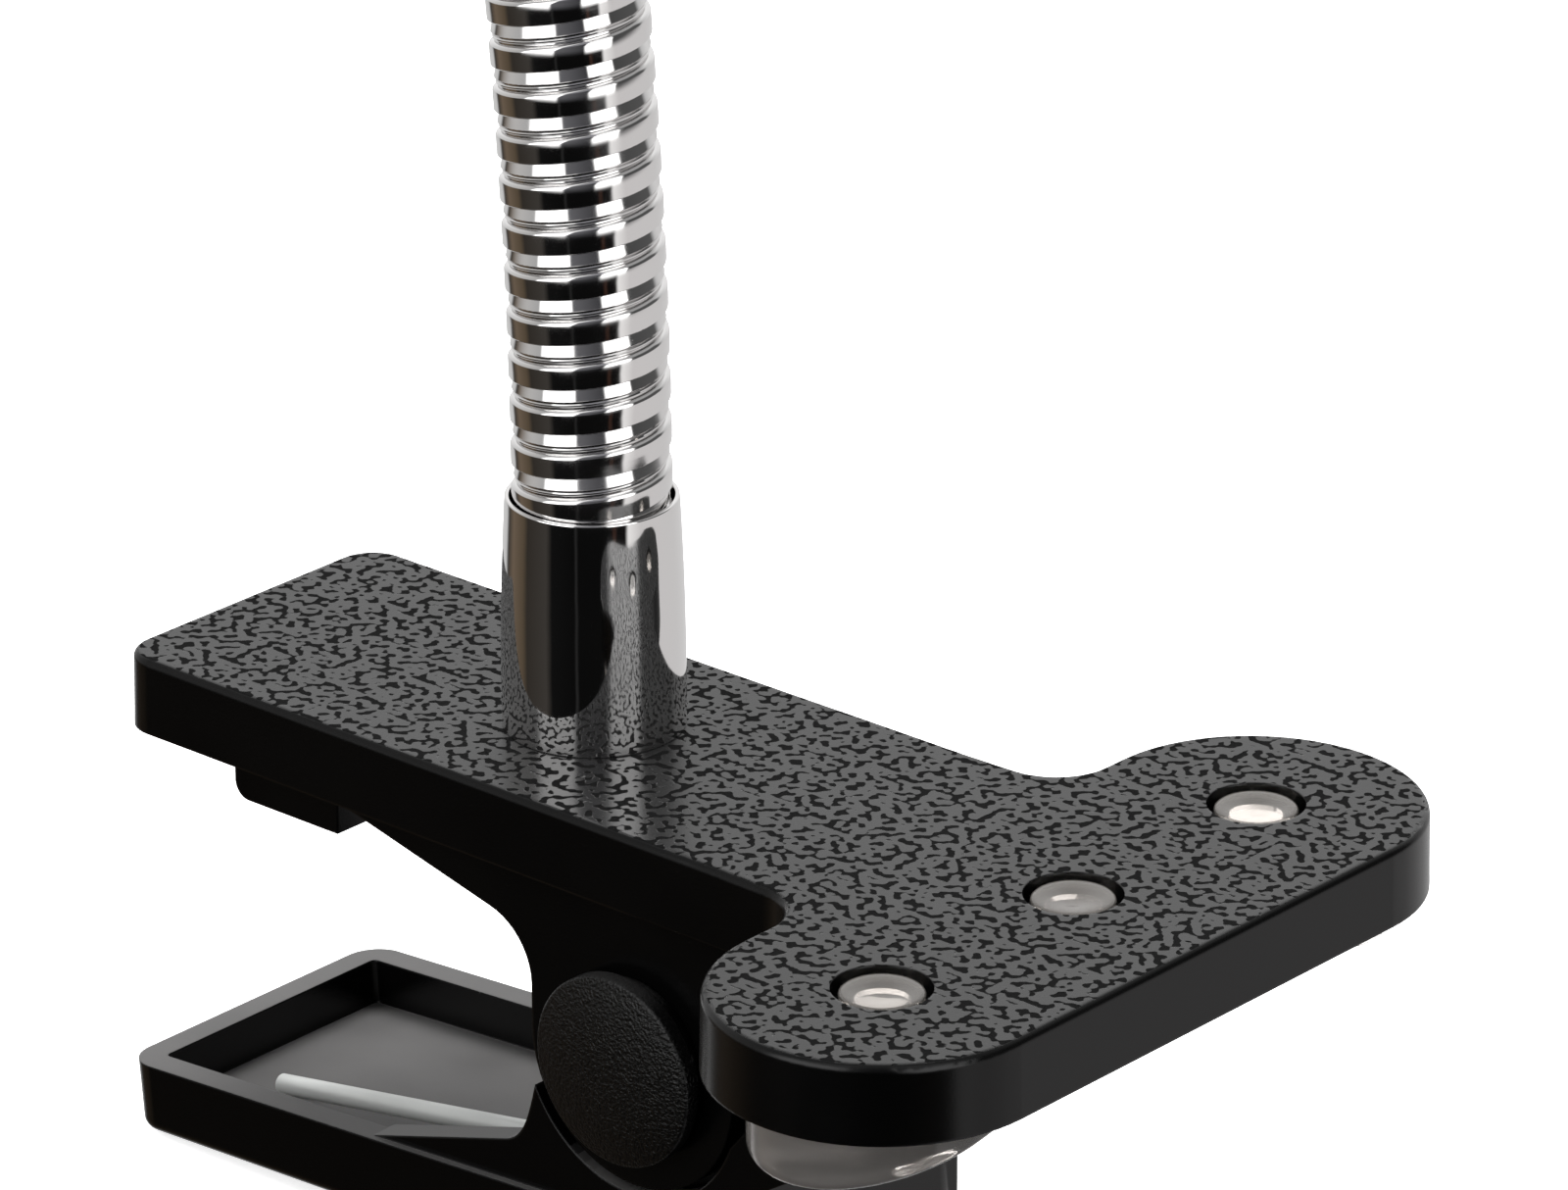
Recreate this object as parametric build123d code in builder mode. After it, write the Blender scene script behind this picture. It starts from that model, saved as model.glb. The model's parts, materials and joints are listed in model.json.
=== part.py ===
from build123d import *
from math import acos, atan, atan2, cos, pi, radians, sin, sqrt, tan
import os

# Clip-on stand: a sprung plastic clamp that carries a chrome gooseneck and a slotted cup.
# Millimetres. +X runs out of the clamp's mouth, +Y across it, +Z up.
# The origin is the middle of the gap between the two closed gripping pads.

# ---------------------------------------------------------------- driving dimensions
# Upper jaw
post_x = -45.0  # axis of the gooseneck post
plate_z = 9.7  # top face of the upper jaw
skirt_depth = 6.6
wall = 2.5
plate_thickness = 2.6
draft = 1.1  # degrees, on the moulded sides
handle_end_x = post_x - 39.8
handle_half = 15.15
handle_corner = 3.5
flare_x = post_x + 27.0  # the handle widens slightly from here to the head
flare_angle = 1.5
head_x = post_x + 50.5  # line of the three pad pegs
lobe_y = 22.7
lobe_radius = 13.8
throat_radius = 5.0
edge_round = 0.6
stop_x = (post_x - 28.4, post_x - 16.7)
stop_z = plate_z - 10.6
stop_half = 13.0
stop_corner = 1.5

# Pivot
pivot_x = post_x + 16.75
pivot_z = plate_z - 20.2
pin_radius = 2.0
pin_half = 14.6
fixed_hole = 2.02
running_hole = 2.06
cheek_in = 11.5
cheek_out = 14.2
cheek_radius = 10.8
cap_radius = 8.2
cap_seat_radius = 7.75
cap_stem_radius = 7.2
cap_seat_depth = 0.5
cap_lift = 1.0  # flange of the cap above the cheek
cap_flange = 1.4
cap_dome = 0.7

# Lower jaw
tray_end_x = post_x - 40.5
tray_front_x = post_x + 26.6
tray_half = 15.15
tray_corner = 3.0
tray_inner_corner = 0.5
tray_depth = 4.0
rim_z = plate_z - 37.7
rim_slope = 0.065
base_z = plate_z - 43.9
base_slope = 0.046
ear_in = 11.8
ear_out = 14.5
recess_radius = 11.5
lug_in = 8.4
lug_out = 11.2
lug_radius = 8.0
arm_tip_x = post_x + 52.0
arm_tip_corner = 5.0
base_corner = 1.0
lug_root = 4.5  # how far the lugs run below the rim

# Torsion spring
wire_radius = 0.9
coil_radius = 5.6
coil_pitch = 2.0
coil_turns = 5
upper_leg_y = 5.7
upper_leg_end = (post_x - 15.0, plate_z - 3.6)
lower_leg_y = -6.5
lower_leg_end = (post_x - 30.3, plate_z - 40.0)
lower_leg_slope = 0.169
lower_leg_bend = 45.0  # degrees, direction of the last stretch up to the coil
lower_leg_wrap = 200.0  # degrees that the lower leg runs on round the coil
lower_leg_radius = 3.0

# Silicone pads
pad_radius = 10.4
pad_depth = 10.5
peg_seat_radius = 4.0
peg_seat_depth = 1.7
peg_hole_radius = 2.3
peg_neck_radius = 2.2
peg_head_radius = 3.4
peg_head_thick = 1.55
peg_head_round = 0.5
peg_dimple = (3.8, 3.45)  # radius of the ball that hollows the head, and its lift above it
arch_z = plate_z - 8.54  # gripping face above the middle of the head
arch_slope = 0.11
arch_half = 40.0
arch_drop = 6.72
lower_pad_drop = 1.0
lower_pad_thick = 2.0
lower_pad_x = post_x + 43.5
lower_pad_size = (15.0, 25.0)
lower_pad_corner = 4.0
lower_pad_round = 0.6

# Post collar and its fixing
collar_height = 20.0
collar_base_radius = 7.5
collar_waist_radius = 7.38
collar_top_radius = 7.05
collar_floor = 4.0
sleeve_bore = 6.65
nipple_radius = 5.0
nipple_bore = 3.6
nipple_hole = 5.03
nipple_below = 6.4
nipple_above = 3.6
washer_radius = 8.5
washer_thick = 1.0
nut_radius = 8.0
nut_thick = 2.6
nut_chamfer = 0.4

# Gooseneck: hollow links, each with a ball on top that sits in the next link's socket
hose_radius = 6.5
groove_radius = 5.9
hose_bore = 3.2
pitch = 3.75
band = 2.2
link_length = 4 * pitch
link_gap = 1.8
ball_radius = 5.45
socket_radius = 5.8
ball_flat = 3.0
first_joint_z = plate_z + 28.0
lean = [-2.2, -4.2, -5.8, -6.0, -5.0, -3.0, 0.0, 3.5, 7.5, 11.5, 15.5, 19.5, 23.5, 27.5]
last_link_length = 12.0

# Head
ferrule_start = 7.0
ferrule_end = 24.0
sleeve_end = 12.2
chamber_radius = 4.3
chamber_end = 15.6
rivet_radius = 3.0
rivet_hole = 3.06
rivet_head_radius = 3.8
rivet_head = (12.6, 15.2)
flange_radius = 6.5
flange = (24.4, 26.0)
tilt_distance = 34.0
knuckle_radius = 5.0
tongue_half = 2.5
fork_in = 2.8
fork_out = 5.8
cup_bore = 10.5
cup_outer = 13.0
cup_top = 26.0  # mouth of the cup above the tilt pin
cup_bottom = -10.0
cup_floor = 2.5
cup_floor_bore = 8.0
cup_slot = 12.0
cup_reach = 22.0
cup_root = 2.5  # how far the fork runs into the cup's wall
fork_root = (-8.0, 10.0)  # foot of the fork on the cup, below and above the tilt pin
rim_thick = 2.0
rim_round = 0.5
rim_bore = 10.7
tilt_head_radius = 3.6
tilt_head_thick = 1.6
tilt_head_round = 0.9

on_base = (Align.CENTER, Align.CENTER, Align.MIN)


def save(piece, name):
    """Write one finished piece under its own name."""
    piece.label = name
    export_step(piece, f"parts/{name}.step")


def rim_at(x):
    """Height of the lower jaw's sloping rim."""
    return rim_z + rim_slope * (x - tray_end_x)


def base_at(x):
    """Height of the lower jaw's sloping underside."""
    return base_z + base_slope * (x - tray_end_x)


def pad_face_at(x):
    """Height of the arched gripping face over the middle of the jaw."""
    return arch_z + arch_slope * (x - head_x)


def side_planes(inner, outer):
    """Planes for a profile that is cut from two walls, one each side of the middle."""
    return Plane.XZ.offset(inner), Plane.XZ.offset(-outer)


# ---------------------------------------------------------------- upper jaw
def jaw_outline(grow=0.0):
    """T-shaped plan of the upper jaw."""
    neck_x = head_x - lobe_radius
    neck_y = handle_half + (neck_x - flare_x) * tan(radians(flare_angle))
    front_x = head_x + lobe_radius
    with BuildSketch() as outline:
        with BuildLine():
            Polyline(
                (neck_x, -lobe_y),
                (neck_x, -neck_y),
                (flare_x, -handle_half),
                (handle_end_x, -handle_half),
                (handle_end_x, handle_half),
                (flare_x, handle_half),
                (neck_x, neck_y),
                (neck_x, lobe_y),
            )
            ThreePointArc((neck_x, lobe_y), (head_x, lobe_y + lobe_radius), (front_x, lobe_y))
            Line((front_x, lobe_y), (front_x, -lobe_y))
            ThreePointArc((front_x, -lobe_y), (head_x, -lobe_y - lobe_radius), (neck_x, -lobe_y))
        make_face()
        fillet([v for v in vertices() if abs(v.X - handle_end_x) < 0.1], handle_corner)
        fillet(
            [v for v in vertices() if abs(v.X - neck_x) < 0.1 and abs(abs(v.Y) - neck_y) < 0.1],
            throat_radius,
        )
        if grow:
            offset(amount=grow, kind=Kind.ARC, mode=Mode.REPLACE)
    return outline.sketch


def cheek_profile():
    """Side view of one cheek, from the plate down round the pivot."""
    under = plate_z - plate_thickness
    left = pivot_x - cheek_radius
    right = pivot_x + cheek_radius
    with BuildSketch() as outline:
        with BuildLine():
            Polyline(
                (post_x + 1.4, plate_z - 11.05),
                (post_x - 14.0, plate_z - 7.3),
                (post_x - 14.0, under),
                (right + 6.0, under),
                (right + 6.0, plate_z - 6.2),
            )
            ThreePointArc(
                (right + 6.0, plate_z - 6.2), (right + 1.8, plate_z - 8.8), (right, plate_z - 13.5)
            )
            Line((right, plate_z - 13.5), (right, pivot_z))
            ThreePointArc((right, pivot_z), (pivot_x, pivot_z - cheek_radius), (left, pivot_z))
            Line((left, pivot_z), (left, plate_z - 16.5))
            ThreePointArc(
                (left, plate_z - 16.5), (post_x + 4.6, plate_z - 13.0), (post_x + 1.4, plate_z - 11.05)
            )
        make_face()
    return outline.sketch


def make_upper_jaw():
    """Skirted plate with the head, the two cheeks and the stop block."""
    outline = jaw_outline()
    hollow = jaw_outline(grow=-wall)
    cheek = cheek_profile()
    with BuildPart() as jaw:
        with BuildSketch(Plane.XY.offset(plate_z)):
            add(outline)
        extrude(amount=-skirt_depth, taper=-draft)
        fillet(jaw.edges().filter_by_position(Axis.Z, plate_z - 0.01, plate_z + 0.01), edge_round)
        with BuildSketch(Plane.XY.offset(plate_z - skirt_depth)):
            add(hollow)
        extrude(amount=skirt_depth - plate_thickness, mode=Mode.SUBTRACT)
        with BuildSketch(*side_planes(cheek_in, cheek_out)):
            add(cheek)
        extrude(amount=cheek_out - cheek_in)
        # seats for the caps, one in each cheek
        with BuildSketch(*side_planes(cheek_out - cap_seat_depth, cheek_out)):
            with Locations((pivot_x, pivot_z)):
                Circle(cap_seat_radius)
        extrude(amount=cap_seat_depth, mode=Mode.SUBTRACT)
        with BuildSketch(Plane.XZ):
            with Locations((pivot_x, pivot_z)):
                Circle(fixed_hole)
        extrude(amount=cheek_out, both=True, mode=Mode.SUBTRACT)
        # stop block under the handle
        with BuildSketch(Plane.XZ):
            with BuildLine():
                Polyline(
                    (stop_x[0], plate_z - plate_thickness),
                    (stop_x[0], stop_z),
                    (stop_x[1], stop_z),
                    (stop_x[1], plate_z - plate_thickness),
                    close=True,
                )
            make_face()
            fillet([v for v in vertices() if v.Y < stop_z + 0.1 and v.X < stop_x[0] + 0.1], stop_corner)
        extrude(amount=stop_half, both=True)
        # holes for the post and the pad's pegs
        with Locations((post_x, 0, plate_z)):
            Cylinder(nipple_hole, 3 * plate_thickness, mode=Mode.SUBTRACT)
        with Locations((head_x, -lobe_y, plate_z), (head_x, 0, plate_z), (head_x, lobe_y, plate_z)):
            Cylinder(peg_hole_radius, 3 * plate_thickness, mode=Mode.SUBTRACT)
            Cylinder(peg_seat_radius, 2 * peg_seat_depth, mode=Mode.SUBTRACT)
    return jaw.part


# ---------------------------------------------------------------- lower jaw
def tray_plane():
    """Plane of the tray's sloping rim, its origin at the closed end."""
    tilt = atan(rim_slope)
    return Plane(
        origin=(tray_end_x, 0, rim_z), x_dir=(cos(tilt), 0, sin(tilt)), z_dir=(-sin(tilt), 0, cos(tilt))
    )


def tray_outline(inset, corner):
    """Rounded rectangle of the tray or of its hollow, drawn in the rim plane."""
    length = (tray_front_x - tray_end_x) * sqrt(1 + rim_slope**2)
    with BuildSketch() as outline:
        with Locations((length / 2, 0)):
            RectangleRounded(length - 2 * inset, 2 * (tray_half - inset), corner)
    return outline.sketch


def ear_profile():
    """Side view of one raised wall, from the rim ramp round the recess to the front."""
    foot = rim_at(post_x) - 3.0
    reach = recess_radius
    front = (pivot_x + reach * cos(radians(-20)), pivot_z + reach * sin(radians(-20)))
    notch = (pivot_x + reach * cos(radians(206.5)), pivot_z + reach * sin(radians(206.5)))
    with BuildSketch() as outline:
        with BuildLine():
            Polyline(
                (post_x + 3.0, plate_z - 31.3),
                (post_x - 12.0, rim_at(post_x - 12.0) - 0.02),
                (post_x - 12.0, foot - 1.0),
                (tray_front_x - 1.0, foot),
                (tray_front_x - 1.0, plate_z - 30.2),
                front,
            )
            ThreePointArc(front, (pivot_x, pivot_z - reach), notch)
            Spline(
                notch,
                (post_x + 5.6, plate_z - 28.4),
                (post_x + 3.0, plate_z - 31.3),
                tangents=[(-0.25, -1), (-1, -0.3)],
            )
        make_face()
    return outline.sketch


def arm_profile():
    """Side view of the arm that rises from the tray's front to the mouth."""
    reach = recess_radius
    inner_x = tray_front_x - wall
    inner_z = pivot_z - sqrt(reach**2 - (inner_x - pivot_x) ** 2)
    front = (pivot_x + reach * cos(radians(-20)), pivot_z + reach * sin(radians(-20)))
    middle = (pivot_x + reach * cos(radians(-36)), pivot_z + reach * sin(radians(-36)))
    seat = lower_pad_drop + lower_pad_thick * sqrt(1 + arch_slope**2)
    heel_x = post_x + 35.5
    with BuildSketch() as outline:
        with BuildLine():
            Polyline(
                front,
                (post_x + 31.0, plate_z - 20.0),
                (heel_x, pad_face_at(heel_x) - seat),
                (arm_tip_x, pad_face_at(arm_tip_x) - seat),
                (arm_tip_x, plate_z - 13.6),
                (tray_front_x, plate_z - 29.7),
                (tray_front_x, base_at(tray_front_x) + 1.0),
                (inner_x, base_at(inner_x) + 1.0),
                (inner_x, inner_z),
            )
            ThreePointArc((inner_x, inner_z), middle, front)
        make_face()
    return outline.sketch


def make_lower_jaw():
    """Open tray handle with raised walls, pivot lugs and the arm of the mouth."""
    tray = tray_outline(0, tray_corner)
    hollow = tray_outline(wall, tray_inner_corner)
    ear = ear_profile()
    arm = arm_profile()
    with BuildPart() as jaw:
        with BuildSketch(tray_plane()):
            add(tray)
        extrude(amount=-9.0, taper=draft)
        with BuildSketch(Plane.XZ):
            with BuildLine():
                Polyline(
                    (tray_end_x - 5, base_at(tray_end_x - 5)),
                    (tray_front_x + 5, base_at(tray_front_x + 5)),
                    (tray_front_x + 5, base_z - 20),
                    (tray_end_x - 5, base_z - 20),
                    close=True,
                )
            make_face()
        extrude(amount=30, both=True, mode=Mode.SUBTRACT)
        fillet(jaw.faces().sort_by(Axis.Z)[0].edges(), base_corner)
        with BuildSketch(tray_plane()):
            add(hollow)
        extrude(amount=-tray_depth, mode=Mode.SUBTRACT)
        with BuildSketch(*side_planes(ear_in, ear_out)):
            add(ear)
        extrude(amount=ear_out - ear_in)
        with BuildSketch(Plane.XZ):
            add(arm)
        extrude(amount=ear_out, both=True)
        fillet(
            [
                e
                for e in jaw.edges().filter_by(Axis.Z)
                if abs(e.center().X - arm_tip_x) < 0.1 and abs(e.center().Y) > lug_in
            ],
            arm_tip_corner,
        )
        with BuildSketch(*side_planes(lug_in, lug_out)):
            with Locations((pivot_x, pivot_z)):
                Circle(lug_radius)
            with Locations((pivot_x, (pivot_z + rim_at(pivot_x) - lug_root) / 2)):
                Rectangle(2 * lug_radius, pivot_z - rim_at(pivot_x) + lug_root)
        extrude(amount=lug_out - lug_in)
        with BuildSketch(Plane.XZ):
            with Locations((pivot_x, pivot_z)):
                Circle(running_hole)
        extrude(amount=lug_out + 0.1, both=True, mode=Mode.SUBTRACT)
    return jaw.part


# ---------------------------------------------------------------- silicone pads
def arch_plane():
    """Plane across the mouth, square to the sloping gripping face."""
    tilt = atan(arch_slope)
    return Plane(origin=(head_x, 0, arch_z), x_dir=(0, 1, 0), z_dir=(cos(tilt), 0, sin(tilt)))


def make_upper_pad():
    """Clear pad in the head, arched underneath, with three pegs up through the plate."""
    seat_z = plate_z - peg_seat_depth
    under_z = plate_z - plate_thickness
    pegs = [(head_x, -lobe_y), (head_x, 0), (head_x, lobe_y)]
    with BuildPart() as pad:
        with BuildSketch(Plane.XY.offset(under_z)):
            with Locations((head_x, 0)):
                SlotCenterToCenter(2 * lobe_y, 2 * pad_radius, rotation=90)
        extrude(amount=-pad_depth)
        with BuildSketch(arch_plane()):
            with BuildLine():
                ThreePointArc((-arch_half, -arch_drop), (0, 0), (arch_half, -arch_drop))
                Polyline(
                    (arch_half, -arch_drop), (arch_half, -30), (-arch_half, -30), (-arch_half, -arch_drop)
                )
            make_face()
        extrude(amount=20, both=True, mode=Mode.SUBTRACT)
        with BuildSketch(Plane.XY.offset(under_z)):
            with Locations(*pegs):
                Circle(peg_neck_radius)
        extrude(amount=plate_thickness - peg_seat_depth)
        with BuildSketch(Plane.XY.offset(seat_z)):
            with Locations(*pegs):
                Circle(peg_head_radius)
        extrude(amount=peg_head_thick)
        crown_z = seat_z + peg_head_thick
        fillet(pad.edges().filter_by_position(Axis.Z, crown_z - 0.01, crown_z + 0.01), peg_head_round)
        with Locations([(x, y, crown_z + peg_dimple[1]) for x, y in pegs]):
            Sphere(peg_dimple[0], mode=Mode.SUBTRACT)
    return pad.part


def make_lower_pad():
    """Flat clear pad on the lower arm."""
    tilt = atan(arch_slope)
    top = pad_face_at(lower_pad_x) - lower_pad_drop
    face = Plane(
        origin=(lower_pad_x, 0, top), x_dir=(cos(tilt), 0, sin(tilt)), z_dir=(-sin(tilt), 0, cos(tilt))
    )
    with BuildPart() as pad:
        with BuildSketch(face):
            RectangleRounded(*lower_pad_size, lower_pad_corner)
        extrude(amount=-lower_pad_thick)
        fillet(pad.faces().sort_by(Axis.Z)[-1].edges(), lower_pad_round)
    return pad.part


# ---------------------------------------------------------------- pivot and spring
def make_pivot_pin():
    """Plain steel pin through both cheeks and both lugs."""
    with BuildPart() as pin:
        with BuildSketch(Plane.XZ):
            with Locations((pivot_x, pivot_z)):
                Circle(pin_radius)
        extrude(amount=pin_half, both=True)
    return pin.part


def make_pivot_caps():
    """Two domed caps that cover the ends of the pin."""
    seat = cheek_out - cap_seat_depth
    under = cheek_out + cap_lift
    rim = under + cap_flange
    end = pin_half + 0.1
    with BuildPart() as caps:
        with BuildSketch(Plane.XY.offset(pivot_z)):
            with BuildLine():
                Polyline(
                    (pivot_x, rim + cap_dome),
                    (pivot_x, end),
                    (pivot_x + fixed_hole, end),
                    (pivot_x + fixed_hole, seat),
                    (pivot_x + cap_stem_radius, seat),
                    (pivot_x + cap_stem_radius, under),
                    (pivot_x + cap_radius, under),
                    (pivot_x + cap_radius, rim),
                )
                Spline(
                    (pivot_x + cap_radius, rim),
                    (pivot_x, rim + cap_dome),
                    tangents=[(-0.5, 0.3), (-1, 0)],
                )
            make_face()
        revolve(axis=Axis((pivot_x, 0, pivot_z), (0, 1, 0)))
        mirror(about=Plane.XZ)
    return caps.part


def coil_point(angle):
    """Point on the coil's centre line, in the side view, with its angle from +X."""
    turn = radians(angle)
    return pivot_x + coil_radius * cos(turn), pivot_z + coil_radius * sin(turn)


def make_spring_coil():
    """Torsion spring's coil round the pin, and the leg that presses up under the handle."""
    # the leg leaves the coil where a line to its end just touches it
    run_x = upper_leg_end[0] - pivot_x
    run_z = upper_leg_end[1] - pivot_z
    reach = sqrt(run_x**2 + run_z**2)
    start = atan2(run_z, run_x) - acos(coil_radius / reach)
    leg_length = sqrt(reach**2 - coil_radius**2)
    drift = coil_pitch / (2 * pi * coil_radius)
    with BuildPart() as coil:
        with BuildLine() as leg:
            Line((coil_radius, leg_length, -leg_length * drift), (coil_radius, 0, 0))
        with BuildSketch(Plane(origin=leg.line @ 0, z_dir=leg.line % 0)):
            Circle(wire_radius)
        sweep(path=leg.line)
        # each turn is swept on its own and joined to the one before
        for k in range(coil_turns):
            with BuildLine(Plane.XY.offset(k * coil_pitch)) as turn:
                Helix(pitch=coil_pitch, height=coil_pitch, radius=coil_radius, lefthand=True)
            with BuildSketch(Plane(origin=turn.line @ 0, z_dir=turn.line % 0)):
                Circle(wire_radius)
            sweep(path=turn.line)
    frame = Plane(
        origin=(pivot_x, upper_leg_y, pivot_z), x_dir=(cos(start), 0, sin(start)), z_dir=(0, -1, 0)
    )
    return coil.part.moved(frame.location)


def make_spring_leg():
    """The spring's other leg, bent down from the coil to lie in the tray."""
    climb = radians(lower_leg_bend)
    touch = coil_point(lower_leg_bend - 90)
    # where the last stretch meets the long straight one
    rise = touch[1] - lower_leg_end[1] - lower_leg_slope * (touch[0] - lower_leg_end[0])
    run = rise / (sin(climb) - lower_leg_slope * cos(climb))
    elbow = (touch[0] - run * cos(climb), touch[1] - run * sin(climb))
    last = lower_leg_bend - 90 + lower_leg_wrap
    with BuildPart() as leg:
        with BuildLine(Plane.XZ.offset(-lower_leg_y)) as path:
            FilletPolyline(lower_leg_end, elbow, touch, radius=lower_leg_radius)
            ThreePointArc(touch, coil_point(last - lower_leg_wrap / 2), coil_point(last))
        with BuildSketch(Plane(origin=path.line @ 0, z_dir=path.line % 0)):
            Circle(wire_radius)
        sweep(path=path.line)
    return leg.part


# ---------------------------------------------------------------- post
def make_collar():
    """Chromed collar that stands on the plate, bellied, with a floor for the nipple."""
    with BuildPart() as collar:
        with BuildSketch(Plane.XZ):
            with BuildLine():
                Polyline(
                    (collar_top_radius, collar_height),
                    (sleeve_bore, collar_height),
                    (sleeve_bore, collar_floor),
                    (nipple_hole, collar_floor),
                    (nipple_hole, 0),
                    (collar_base_radius, 0),
                )
                ThreePointArc(
                    (collar_base_radius, 0),
                    (collar_waist_radius, 0.64 * collar_height),
                    (collar_top_radius, collar_height),
                )
            make_face()
        revolve(axis=Axis.Z)
    return collar.part.moved(Location((post_x, 0, plate_z)))


def make_nipple():
    """Threaded tube that holds the collar down through the plate."""
    with BuildPart() as nipple:
        with Locations((post_x, 0, plate_z - nipple_below)):
            Cylinder(nipple_radius, nipple_below + nipple_above, align=on_base)
            Cylinder(nipple_bore, nipple_below + nipple_above, align=on_base, mode=Mode.SUBTRACT)
    return nipple.part


def make_washer():
    """Flat washer under the plate."""
    with BuildPart() as washer:
        with Locations((post_x, 0, plate_z - plate_thickness - washer_thick)):
            Cylinder(washer_radius, washer_thick, align=on_base)
            Cylinder(nipple_hole, washer_thick, align=on_base, mode=Mode.SUBTRACT)
    return washer.part


def make_nut():
    """Hexagon nut on the nipple."""
    with BuildPart() as nut:
        with BuildSketch(Plane.XY.offset(plate_z - plate_thickness - washer_thick - nut_thick)):
            with Locations((post_x, 0)):
                RegularPolygon(nut_radius, 6)
                Circle(nipple_hole, mode=Mode.SUBTRACT)
        extrude(amount=nut_thick)
        chamfer(nut.faces().sort_by(Axis.Z)[0].outer_wire().edges(), nut_chamfer)
    return nut.part


# ---------------------------------------------------------------- gooseneck
def joint_points():
    """Centre of every ball joint, from the lowest up, on the line that the links lean along."""
    points = [(post_x, first_joint_z)]
    for angle in lean[:-1]:
        x, z = points[-1]
        turn = radians(angle)
        points.append((x + link_length * sin(turn), z + link_length * cos(turn)))
    return points


def link_frame(point, angle):
    """Frame of a link that starts at a joint and leans by an angle towards +X."""
    turn = radians(angle)
    return Plane(
        origin=(point[0], 0, point[1]), x_dir=(cos(turn), 0, -sin(turn)), z_dir=(sin(turn), 0, cos(turn))
    )


def make_link(start, end, grooves, ball, socket):
    """Grooved tube, with a ball on top or a socket below where another link meets it."""
    with BuildPart() as link:
        with Locations((0, 0, start)):
            Cylinder(hose_radius, end - start, align=on_base)
        with BuildSketch(Plane.XZ):
            with Locations([((groove_radius + hose_radius + 1) / 2, band + k * pitch) for k in grooves]):
                Rectangle(
                    hose_radius + 1 - groove_radius, pitch - band, align=(Align.CENTER, Align.MIN)
                )
        revolve(axis=Axis.Z, mode=Mode.SUBTRACT)
        if ball:
            with Locations((0, 0, link_length)):
                Sphere(ball_radius)
            with Locations((0, 0, link_length + ball_flat)):
                Cylinder(ball_radius, ball_radius, align=on_base, mode=Mode.SUBTRACT)
        if socket:
            Sphere(socket_radius, mode=Mode.SUBTRACT)
        with Locations((0, 0, start)):
            Cylinder(hose_bore, 2 * link_length, align=on_base, mode=Mode.SUBTRACT)
    return link.part


# ---------------------------------------------------------------- head
def make_ferrule():
    """Chromed sleeve on the top end of the gooseneck, closed round the swivel's rivet."""
    with BuildPart() as ferrule:
        with BuildSketch(Plane.XZ):
            with BuildLine():
                Polyline(
                    (collar_top_radius, ferrule_start),
                    (sleeve_bore, ferrule_start),
                    (sleeve_bore, sleeve_end),
                    (chamber_radius, sleeve_end),
                    (chamber_radius, chamber_end),
                    (rivet_hole, chamber_end),
                    (rivet_hole, ferrule_end),
                    (flange_radius, ferrule_end),
                )
                ThreePointArc(
                    (flange_radius, ferrule_end),
                    (collar_base_radius, 0.55 * ferrule_end),
                    (collar_top_radius, ferrule_start),
                )
            make_face()
        revolve(axis=Axis.Z)
    return ferrule.part


def make_swivel():
    """Riveted swivel: head in the ferrule, flange on top of it and the tongue of the hinge."""
    with BuildPart() as swivel:
        with BuildSketch(Plane.XZ):
            with BuildLine():
                Polyline(
                    (0, rivet_head[0]),
                    (rivet_head_radius, rivet_head[0]),
                    (rivet_head_radius, rivet_head[1]),
                    (rivet_radius, rivet_head[1]),
                    (rivet_radius, flange[0]),
                    (flange_radius, flange[0]),
                    (flange_radius, flange[1]),
                    (0, flange[1]),
                    close=True,
                )
            make_face()
        revolve(axis=Axis.Z)
        with BuildSketch(Plane.XZ):
            with Locations((0, tilt_distance)):
                Circle(knuckle_radius)
            with Locations((0, flange[1] - 0.1)):
                Rectangle(
                    2 * knuckle_radius,
                    tilt_distance - flange[1] + 0.1,
                    align=(Align.CENTER, Align.MIN),
                )
            with Locations((0, tilt_distance)):
                Circle(running_hole, mode=Mode.SUBTRACT)
        extrude(amount=tongue_half, both=True)
    return swivel.part


def make_cup(tilt):
    """Slotted cup for the airbrush, on a fork that straddles the swivel's tongue."""
    centre = (tilt[0] + cup_reach, 0, tilt[1] + cup_bottom)
    length = cup_top - cup_bottom
    root = cup_reach - cup_outer + cup_root
    with BuildPart() as cup:
        with Locations(centre):
            Cylinder(cup_outer, length, align=on_base)
            Cylinder(cup_floor_bore, length, align=on_base, mode=Mode.SUBTRACT)
        with Locations((centre[0], 0, centre[2] + cup_floor)):
            Cylinder(cup_bore, length, align=on_base, mode=Mode.SUBTRACT)
        with Locations(centre):
            Box(
                2 * cup_outer,
                cup_slot,
                length,
                align=(Align.MIN, Align.CENTER, Align.MIN),
                mode=Mode.SUBTRACT,
            )
        with BuildSketch(*side_planes(fork_in, fork_out)):
            with BuildLine():
                Polyline(
                    (tilt[0], tilt[1] - knuckle_radius),
                    (tilt[0] + root, tilt[1] + fork_root[0]),
                    (tilt[0] + root, tilt[1] + fork_root[1]),
                    (tilt[0], tilt[1] + knuckle_radius),
                )
                ThreePointArc(
                    (tilt[0], tilt[1] + knuckle_radius),
                    (tilt[0] - knuckle_radius, tilt[1]),
                    (tilt[0], tilt[1] - knuckle_radius),
                )
            make_face()
            with Locations(tilt):
                Circle(fixed_hole, mode=Mode.SUBTRACT)
        extrude(amount=fork_out - fork_in)
    return cup.part


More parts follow.
